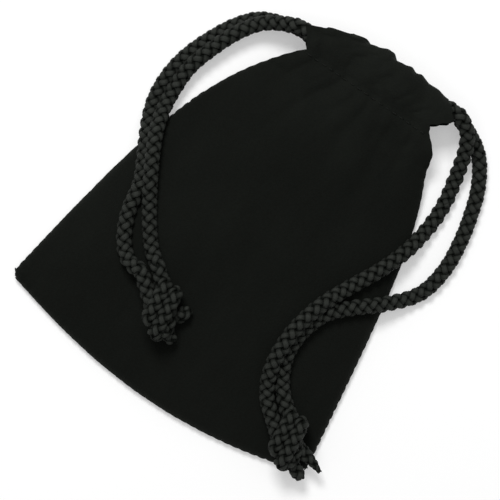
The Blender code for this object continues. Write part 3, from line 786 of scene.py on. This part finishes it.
def make_panel(name, grid, place, section, middle_z, facing):
    """A sheet shaped as a panel: the cloth up to its neck, then its hem turned over the cords.

    Columns lie closer together at the side seams, and rows at the bottom and at the neck.
    """
    columns, rows = grid
    piece = new_grid(name, columns, rows + HEM_ROWS)
    line = evenly(smooth_curve([Vector(point) for point in section], 0.1), 0.01)
    for vertex in piece.data.vertices:
        u = math.sin(math.pi / 2 * vertex.co.x)
        row = round((vertex.co.y + 1) / 2 * (rows + HEM_ROWS))
        if row <= rows:
            v = row / rows
            vertex.co = place(u, v - 0.8 * math.sin(math.tau * v) / math.tau)
        else:
            progress = (row - rows) / HEM_ROWS
            start = hem_place(u, line[0], 0.0, middle_z, facing)
            offset = place(u, 1.0) - start
            point = hem_place(u, line[round(progress * (len(line) - 1))], progress, middle_z, facing)
            vertex.co = point + offset * (1 - ease(progress, 0, 0.15))
    if facing < 0:
        piece.data.flip_normals()
    thicken(piece, CLOTH)
    return piece


def make_tuck(name, side):
    """The fold of side seam between front and back beside the neck, which opens out with the mouth."""
    piece = new_grid(name, *TUCK_GRID)
    for vertex in piece.data.vertices:
        t = TUCK_START + (TUCK_END - TUCK_START) * (vertex.co.x + 1) / 2
        s = (vertex.co.y + 1) / 2
        high = front_place(side, t)
        low = back_place(side, t)
        inward = 0.5 * MM + TUCK_DEPTH * ease(t, TUCK_START, 0.96) * math.sin(math.pi * s) ** 0.8
        wave = 0.3 * MM * math.sin(high.y / (1.7 * MM)) * math.sin(math.pi * s)
        point = low.lerp(high, 0.04 + 0.92 * s)
        point.x -= side * (inward + wave)
        vertex.co = point
    thicken(piece, 0.7 * CLOTH, 0.0)
    return piece


def smooth_curve(points, step):
    """Points about a step apart on a smooth curve through the given points."""
    padded = [2 * points[0] - points[1], *points, 2 * points[-1] - points[-2]]
    found = []
    for before, start, end, after in zip(padded, padded[1:], padded[2:], padded[3:]):
        count = max(1, round((end - start).length / step))
        for i in range(count):
            s = i / count
            leave = (end - before) / 2
            arrive = (after - start) / 2
            found.append(
                (2 * s**3 - 3 * s**2 + 1) * start + (s**3 - 2 * s**2 + s) * leave
                + (3 * s**2 - 2 * s**3) * end + (s**3 - s**2) * arrive
            )
    return [*found, points[-1]]


def evenly(points, step, share=lambda point: 1.0):
    """The same line with its points a step apart, or a share of the step that depends on the place."""
    found = [points[0]]
    left = step * share(points[0])
    for here, following in zip(points, points[1:]):
        way = (following - here).length
        done = 0.0
        while way - done >= left:
            done += left
            found.append(here.lerp(following, done / way))
            left = step * share(found[-1])
        left -= way - done
    return found


def length_of(points):
    return sum((b - a).length for a, b in zip(points, points[1:]))


class Surface:
    """What a cord lies on: the floor, and the bag's front below its hem."""

    def __init__(self, piece):
        mesh = piece.data
        corners = [vertex.co.copy() for vertex in mesh.vertices]
        faces = [tuple(face.vertices) for face in mesh.polygons if face.center.y < Y_NECK]
        self.tree = BVHTree.FromPolygons(corners, faces)

    def height(self, x, y):
        hit = self.tree.ray_cast(Vector((x, y, 0.1)), Vector((0, 0, -1)))[0]
        return hit.z if hit else 0.0

    def ball_height(self, x, y, radius):
        """Height of the centre of a ball of this radius that lies there."""
        best = 0.0
        for ring in (0.0, 0.4, 0.75, 0.95):
            for k in range(12):
                angle = math.tau * k / 12
                dx = ring * radius * math.cos(angle)
                dy = ring * radius * math.sin(angle)
                best = max(best, self.height(x + dx, y + dy) + radius * math.sqrt(1 - ring * ring))
        return best


def over_cord(place, below):
    """Height of a cord's middle where it lies on an earlier cord; 0 where it passes beside it."""
    reach = 0.96 * CORD
    best = 0.0
    for near in below:
        aside = (place.xy - near.xy).length
        if aside < reach:
            best = max(best, near.z + math.sqrt(reach**2 - aside**2))
    return best


def lay_cord(surface, mouth, lead, route, last, stop, below=()):
    """Points of a cord from casing to knot, straight at both ends and lying along a route between."""
    start = mouth + lead
    end = stop - last
    flat = [start.xy.to_3d()]
    flat += [Vector((x, y, 0)) * MM for x, y in route]
    flat += [end.xy.to_3d()]
    flat = smooth_curve(flat, MM)
    heights = []
    for p in flat:
        lying = surface.ball_height(p.x, p.y, CORD / 2) - SUNK
        heights.append(max(BRAID_REACH, lying, over_cord(p, below)))
    heights[0] = start.z
    heights[-1] = end.z
    travelled = [0.0]
    for here, following in zip(flat, flat[1:]):
        travelled.append(travelled[-1] + (following.xy - here.xy).length)
    eased = []
    for along in travelled:
        eased.append(max(h - RAMP * abs(along - other) for h, other in zip(heights, travelled)))
    for _ in range(8):
        middle = [(a + 2 * b + c) / 4 for a, b, c in zip(eased, eased[1:], eased[2:])]
        eased = [eased[0], *middle, eased[-1]]
    return [mouth, *(Vector((p.x, p.y, z)) for p, z in zip(flat, eased)), stop]


class Braid:
    """Six plaited yarns and a core along a line, kept as rings so that stretches can be made apart.

    Where share is below 1, the plait is pushed together by that much along the line.
    """

    def __init__(self, line, thickness=CORD, tip=0.0, share=lambda point: 1.0):
        self.line = evenly(line, PLAIT / RINGS, share)
        self.scale = [thickness / CORD] * len(self.line)
        rings = round(tip / (PLAIT / RINGS))
        for i in range(rings):
            blunt = math.sqrt(1 - (1 - i / rings) ** 2)
            pointed = i / rings
            self.scale[-1 - i] *= 0.3 + 0.7 * (blunt if tip < CORD else pointed)
        self.pushed = [size * share(point) for size, point in zip(self.scale, self.line)]
        self.frames = self.carried_frames()
        self.yarns = [self.yarn(k) for k in range(YARNS)]
        circle = [CORE * Vector((math.cos(a), math.sin(a), 0)) for a in self.turns(CORE_SIDES)]
        self.core = [[self.on_line(i, offset) for offset in circle] for i in range(len(self.line))]

    @staticmethod
    def turns(sides):
        return [math.tau * k / sides for k in range(sides)]

    def carried_frames(self):
        """Two directions square to the line and one ahead at each point, carried without twisting."""
        frames = []
        across = None
        for i in range(len(self.line)):
            ahead = self.line[min(i + 1, len(self.line) - 1)] - self.line[max(i - 1, 0)]
            ahead.normalize()
            if across is None:
                across = ahead.orthogonal()
            across = (across - across.dot(ahead) * ahead).normalized()
            frames.append((across, ahead.cross(across), ahead))
        return frames

    def on_line(self, i, offset):
        """Where a point beside a straight cord comes to lie beside this one."""
        across, up, ahead = self.frames[i]
        sideways = self.scale[i] * (offset.x * across + offset.y * up)
        return self.line[i] + sideways + self.pushed[i] * offset.z * ahead

    def yarn(self, k):
        """Rings of one yarn, worked out on a straight cord and then set on the line."""
        each_way = YARNS // 2
        way = 1 if k < each_way else -1
        outs = []
        middles = []
        for i in range(RINGS):
            turn = way * math.tau * i / RINGS + math.tau * (k % each_way) / each_way
            orbit = YARN_ORBIT + way * YARN_WEAVE * math.cos(each_way * math.tau * i / RINGS)
            outs.append(Vector((math.cos(turn), math.sin(turn), 0)))
            middles.append(orbit * outs[-1])
        sections = []
        for i in range(RINGS):
            ahead = middles[(i + 1) % RINGS] - middles[i - 1] + Vector((0, 0, 2 * PLAIT / RINGS))
            aside = ahead.cross(outs[i]).normalized()
            sections.append([
                middles[i] + YARN_WIDE * math.cos(a) * aside + YARN_THICK * math.sin(a) * outs[i]
                for a in self.turns(YARN_SIDES)
            ])
        rings = []
        for i in range(len(self.line)):
            rings.append([self.on_line(i, point) for point in sections[i % RINGS]])
        return rings

    def add_to(self, bm, first=0, last=None):
        """Put the stretch between two points of the line into a mesh."""
        last = len(self.line) - 1 if last is None else last
        painted_crown_light = bm.verts.layers.float.get("painted_crown_light") or bm.verts.layers.float.new("painted_crown_light")
        yarn_map = bm.loops.layers.uv.get("yarn") or bm.loops.layers.uv.new("yarn")
        for number, tube in enumerate([*self.yarns, self.core]):
            rings = []
            for i in range(first, last + 1):
                ring = [bm.verts.new(point) for point in tube[i]]
                # Painted shade and highlight, kept per point: 0 deep between the yarns, 1 on their crowns
                for vertex in ring:
                    out = (vertex.co - self.line[i]).length / self.scale[i]
                    vertex[painted_crown_light] = ease(out, CREVICE_SHADE_RADIUS, CROWN_HIGHLIGHT_RADIUS)
                rings.append(ring)
            sides = len(rings[0])
            for i, (ring, following) in enumerate(zip(rings, rings[1:])):
                for k in range(sides):
                    j = (k + 1) % sides
                    face = bm.faces.new((ring[k], ring[j], following[j], following[k]))
                    places = ((i, k), (i, k + 1), (i + 1, k + 1), (i + 1, k))
                    for corner, (along, round_it) in zip(face.loops, places):
                        corner[yarn_map].uv = (along / RINGS + number, round_it / sides)
            bm.faces.new(rings[0][::-1])
            bm.faces.new(rings[-1])


def new_braid(name, stretches):
    """One piece of braids, or of stretches of them given with their first and last points."""
    bm = bmesh.new()
    for braid, first, last in stretches:
        braid.add_to(bm, first, last)
    bmesh.ops.recalc_face_normals(bm, faces=bm.faces)
    mesh = bpy.data.meshes.new(name)
    bm.to_mesh(mesh)
    bm.free()
    mesh.shade_smooth()
    piece = bpy.data.objects.new(name, mesh)
    bpy.context.scene.collection.objects.link(piece)
    wear(piece, braided_cord(f"{name}_braid"), "braided_cord")
    return piece


class Knot:
    """Where one pair of strands is tied, with its own directions along and across."""

    def __init__(self, node, heading):
        low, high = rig.box(node)
        self.centre = (Vector(low) + Vector(high)) / 2
        self.along = Vector((math.cos(heading), math.sin(heading), 0))
        self.across = Vector((-math.sin(heading), math.cos(heading), 0))

    def place(self, a, b, c):
        return self.centre + (self.along * a + self.across * b + Vector((0, 0, c))) * MM

    def entry(self, side):
        """Where a strand goes into the knot, and where it ends in the middle of it."""
        start = self.place(*KNOT_ENTRY) + self.across * side * LANE
        stop = self.place(*KNOT_STOP) + self.across * side * PAIR_GAP
        return start, stop

    def strands(self, tails, surface):
        """The two strands from the middle of the knot round its wrap and out to their cut ends."""
        middle = [self.place(a, b, c) for a, b, c, _ in KNOT_WRAP]
        turns = [math.radians(turn) for _, _, _, turn in KNOT_WRAP]
        offsets = [math.cos(turn) * self.along + math.sin(turn) * self.across for turn in turns]
        found = []
        for side, tail in zip((1, -1), tails):
            points = [m + side * PAIR_GAP * o for m, o in zip(middle, offsets)]
            points += [self.place(*point) for point in tail]
            for point in points[-2:]:
                lying = surface.ball_height(point.x, point.y, CORD / 2) - TAIL_SUNK
                point.z = max(point.z, lying)
            found.append(smooth_curve(points, 0.5 * MM))
        return found


def tie_cord(label, lane, exit_x, routes, knotted_end, surface):
    """One drawcord's free part: its two strands and its knot."""
    heading, tails, tips = knotted_end
    pull = f"{label}_pull"
    y = CASING_Y + lane * LANE
    knot = Knot(f"{label}_knot", heading)

    lines = knot.strands(tails, surface)
    tied = [Braid(line, CORD * KNOT_SQUEEZE, tip) for line, tip in zip(lines, tips)]
    tied_piece = new_braid(f"{label}_tied_knot", [(braid, 0, None) for braid in tied])
    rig.ride(tied_piece, pull)
    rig.replaces(tied_piece, f"{label}_knot", f"{label}_upper_tail", f"{label}_lower_tail")

    lead = Vector((lane * CORD / 2, 0, 0))
    last = knot.along * CORD / 2
    below = []
    for face, casing_z, side in (("back", BACK_CASING_Z, lane), ("front", FRONT_CASING_END_Z, -lane)):
        mouth = Vector((exit_x - lane * CASING_INSIDE, y, casing_z))
        out = lead + Vector((lane * CASING_INSIDE, 0, 0))
        entry, stop = knot.entry(side)
        near_knot = entry - last * 2
        line = lay_cord(surface, mouth, out, routes[face], last, entry, below)
        below = line
        braid = Braid([*line, stop])
        cut = round(LEAD / (PLAIT / RINGS)) if face == "front" else 0
        strand = new_braid(f"{label}_{face}_strand_braid", [(braid, cut, None)])
        begin = braid.line[cut + RINGS // 2]
        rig.blend(strand, "bag", pull, start=begin, end=near_knot)
        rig.replaces(strand, f"{label}_{face}_strand")
        path = braid.line[cut:]
        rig.cord(
            strand, exit=path[0], length=length_of(path), diameter=CORD, far_end="knot",
            stiffness="limp", lay="loose", path=path, with_pieces=[tied_piece],
        )
        if cut:
            first = new_braid(f"{label}_front_lead_braid", [(braid, 0, cut)])
            path = braid.line[: cut + 1]
            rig.blend(first, "front_lip", "bag", start=path[0] + lead, end=path[cut - LEAD_REST])
            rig.cord(
                first, exit=path[0], length=length_of(path), diameter=CORD, far_end="object",
                stiffness="limp", lay="loose", path=path, with_pieces=[],
            )


def make_cord_loop(label, lane, exit_x, turn_x):
    """The run of one cord through both casings and round the far end, pressed thin by the gathers."""
    y = CASING_Y + lane * RUN_LANE
    exit_x -= lane * CASING_INSIDE
    along = [exit_x + (turn_x - exit_x) * i / 10 for i in range(11)]
    front = [Vector((x, y, front_casing_z(x))) for x in along]
    back = [Vector((x, y, BACK_CASING_Z)) for x in reversed(along)]
    radius = (front[-1].z - BACK_CASING_Z) / 2
    away = math.copysign(radius, turn_x - exit_x)
    bend = []
    for i in range(1, 8):
        angle = math.pi * i / 8
        x = turn_x + away * math.sin(angle)
        bend.append(Vector((x, y, BACK_CASING_Z + radius * (1 + math.cos(angle)))))
    low = Vector((0, 0, BACK_CASING_Z + CORD / 2))
    high = Vector((0, 0, FRONT_CASING_END_Z - CORD / 2))

    def drawn_out(point):
        """Share of the plait's length where the turn is drawn out as the mouth opens."""
        s = min(1.0, max(0.0, (point.z - low.z) / (high.z - low.z)))
        return 1 / (1 + TURN_PUSH * 4 * s * (1 - s))

    braid = Braid(smooth_curve(front + bend + back, 0.5 * MM), RUN_SQUEEZE * CORD, share=drawn_out)
    piece = new_braid(f"{label}_cord_run_braid", [(braid, 0, None)])
    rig.blend(piece, "bag", "front_lip", start=low, end=high)
    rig.replaces(piece, f"{label}_cord_loop")


def sew(name, places, body, nodes):
    """A row of stitches, each between two places and a copy of one that is modelled first."""
    bpy.ops.object.select_all(action="DESELECT")
    bpy.ops.mesh.primitive_cylinder_add(vertices=6, radius=THREAD / 2, depth=1, end_fill_type="TRIFAN")
    first = bpy.context.object
    bpy.ops.object.mode_set(mode="EDIT")
    bpy.ops.mesh.select_all(action="SELECT")
    bpy.ops.mesh.bisect(plane_co=(0, 0, 0.2), plane_no=(0, 0, 1))
    bpy.ops.mesh.select_all(action="SELECT")
    bpy.ops.mesh.bisect(plane_co=(0, 0, -0.2), plane_no=(0, 0, 1))
    bpy.ops.object.mode_set(mode="OBJECT")
    # Both ends are thinner and dip into the cloth
    for vertex in first.data.vertices:
        if abs(vertex.co.z) > 0.4:
            vertex.co.x *= 0.6
            vertex.co.y = 0.6 * vertex.co.y - 0.3 * THREAD
    pattern = first.data
    stitches = []
    for start, end in places:
        turned = (end - start).to_track_quat("Z", "Y").to_matrix().to_4x4()
        sized = Matrix.Diagonal((1, 1, (end - start).length, 1))
        mesh = pattern.copy()
        mesh.transform(Matrix.Translation((start + end) / 2) @ turned @ sized)
        stitch = bpy.data.objects.new(name, mesh)
        bpy.context.scene.collection.objects.link(stitch)
        stitches.append(stitch)
    bpy.data.objects.remove(first)
    bpy.ops.object.select_all(action="DESELECT")
    for stitch in stitches:
        stitch.select_set(True)
    bpy.context.view_layer.objects.active = stitches[0]
    bpy.ops.object.join()
    row = bpy.context.object
    row.name = name
    row.data.shade_smooth()
    wear(row, sewing_thread(f"{name}_thread"), "thread")
    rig.ride(row, body)
    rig.replaces(row, *nodes)


def seam_places():
    """Ends of the stitches that show in the valley between front and back, round the outline."""
    outline = [outline_place(-1, SHOULDER_LINE * (1 - i / 300))[:2] for i in range(300)]
    outline += [outline_place(-1 + 2 * i / 400, 0)[:2] for i in range(400)]
    outline += [outline_place(1, SHOULDER_LINE * i / 300)[:2] for i in range(301)]
    line = evenly([Vector((x, y, SEAM_HEIGHT)) for x, y in outline], STITCH)
    places = []
    for before, here, following in zip(line, line[1:], line[2:]):
        outward = (following - before).cross(Vector((0, 0, 1))).normalized()
        sunk = here - outward * SEAM_STITCH_IN
        half = (following - here) * 0.36
        places.append((sunk - half, sunk + half))
    return places


def hem_places(place, lift):
    """Ends of the stitches in the row below a casing."""
    t = 1 - HEM_STITCH_DOWN / (Y_NECK - Y_CORNER)
    places = []
    for i in range(HEM_STITCHES):
        ends = []
        for share in (0.14, 0.86):
            u = -0.93 + 1.86 * (i + share) / HEM_STITCHES
            ends.append(place(u, t) + Vector((0, 0, lift)))
        places.append(ends)
    return places


def light_and_view():
    """Pale floor, soft light from the top of the picture and the camera above."""
    bpy.ops.object.select_all(action="DESELECT")
    bpy.ops.mesh.primitive_plane_add(size=4, location=(0, 0, -0.05 * MM))
    floor = bpy.context.object
    floor.name = "floor"
    paper = Finish(
        "white_paper",
        {
            "Base Color": (0.66, 0.66, 0.66, 1), "Roughness": 0.9, "Specular IOR Level": 0.1,
            "Emission Strength": 0.36,
        },
    )
    rays = ("Is Camera Ray", "Is Glossy Ray", "Is Transmission Ray")
    seen, mirrored, through = (paper.node("ShaderNodeLightPath", output=ray) for ray in rays)
    paper.put(paper.shader.inputs["Emission Color"], seen + mirrored + through)
    floor.data.materials.append(paper.material)
    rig.stage(floor)

    world = bpy.context.scene.world or bpy.data.worlds.new("studio")
    bpy.context.scene.world = world
    world.use_nodes = True
    world.node_tree.nodes["Background"].inputs["Color"].default_value = (1, 1, 1, 1)
    world.node_tree.nodes["Background"].inputs["Strength"].default_value = 0.28

    up = Vector((-math.sin(VIEW_TURN), math.cos(VIEW_TURN), 0))
    right = Vector((math.cos(VIEW_TURN), math.sin(VIEW_TURN), 0))
    lamps = (
        ("window", up * 0.5 - right * 0.12 + Vector((0, 0, 0.95)), 0.3, 7.6),
        ("ceiling", up * 0.1 + Vector((0, 0, 1.3)), 1.0, 3.7),
    )
    for name, place, size, watts in lamps:
        lamp = bpy.data.lights.new(name, "AREA")
        lamp.size = size
        lamp.energy = watts
        holder = bpy.data.objects.new(name, lamp)
        holder.location = place
        holder.rotation_euler = (-place).to_track_quat("-Z", "Y").to_euler()
        bpy.context.scene.collection.objects.link(holder)

    lens = bpy.data.cameras.new("view")
    lens.sensor_width = SENSOR_WIDTH
    lens.lens = SENSOR_WIDTH * VIEW_DISTANCE / VIEW_WIDTH
    lens.clip_start = 0.01
    camera = bpy.data.objects.new("view", lens)
    camera.location = Vector(VIEW_MIDDLE) + Vector((0, 0, VIEW_DISTANCE))
    camera.rotation_euler = (0, 0, VIEW_TURN)
    bpy.context.scene.collection.objects.link(camera)
    bpy.context.scene.camera = camera
    bpy.context.scene.view_settings.view_transform = "Standard"


light_and_view()

front = make_panel("front_velveteen", FRONT_GRID, front_place, FRONT_HEM, front_casing_z, 1)
wear(front, velveteen("front_pile"), "velveteen")
bag_front = Surface(front)

# The cords lie on the front, so they come as soon as it is there
left_routes = {"front": LEFT_FRONT_ROUTE, "back": LEFT_BACK_ROUTE}
right_routes = {"front": RIGHT_FRONT_ROUTE, "back": RIGHT_BACK_ROUTE}
left_end = (LEFT_HEADING, LEFT_TAILS, LEFT_TIPS)
right_end = (RIGHT_HEADING, RIGHT_TAILS, RIGHT_TIPS)
tie_cord("left", -1, CASING_LEFT, left_routes, left_end, bag_front)
tie_cord("right", 1, CASING_RIGHT, right_routes, right_end, bag_front)
make_cord_loop("left", -1, CASING_LEFT, RIGHT_TURN)
make_cord_loop("right", 1, CASING_RIGHT, LEFT_TURN)

back = make_panel("back_velveteen", BACK_GRID, back_place, BACK_HEM, back_casing_z, -1)
wear(back, velveteen("back_pile"), "velveteen")
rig.ride(back, "bag")
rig.replaces(back, "back_panel", "bottom_seam", "back_casing")

for label, side in (("left", -1), ("right", 1)):
    tuck = make_tuck(f"{label}_neck_tuck", side)
    wear(tuck, velveteen(f"{label}_tuck_pile"), "velveteen")
    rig.blend(tuck, "bag", "front_lip", start=(0, 0, SEAM_HEIGHT), end=(0, 0, 4.0 * MM))
    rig.replaces(tuck, f"{label}_side_seam")

bend_start = (0, Y_SHOULDER - 2 * MM, 0)
bend_end = (0, Y_SHOULDER + 16 * MM, 0)
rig.blend(front, "bag", "front_lip", start=bend_start, end=bend_end)
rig.replaces(front, "front_panel", "front_neck", "front_casing")
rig.sheet(front, flat=(0.102, 0.135), held="gathered", rests_on=["back_velveteen"], with_pieces=[])
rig.sheet(back, flat=(0.102, 0.135), held="gathered", rests_on=[], with_pieces=[])

front_hem = hem_places(front_place, HEM_STITCH_LIFT)
back_hem = hem_places(back_place, CLOTH + HEM_STITCH_LIFT)
sew("seam_stitches", seam_places(), "bag", ["seam_stitching"])
sew("front_hem_stitches", front_hem, "front_lip", ["front_casing_stitching"])
sew("back_hem_stitches", back_hem, "bag", ["back_casing_stitching"])

with open("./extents.json", "w") as sizes:
    boxes = {"cad": cad_box, "visual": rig.bounds()}
    json.dump({name: [list(corner) for corner in box] for name, box in boxes.items()}, sizes)
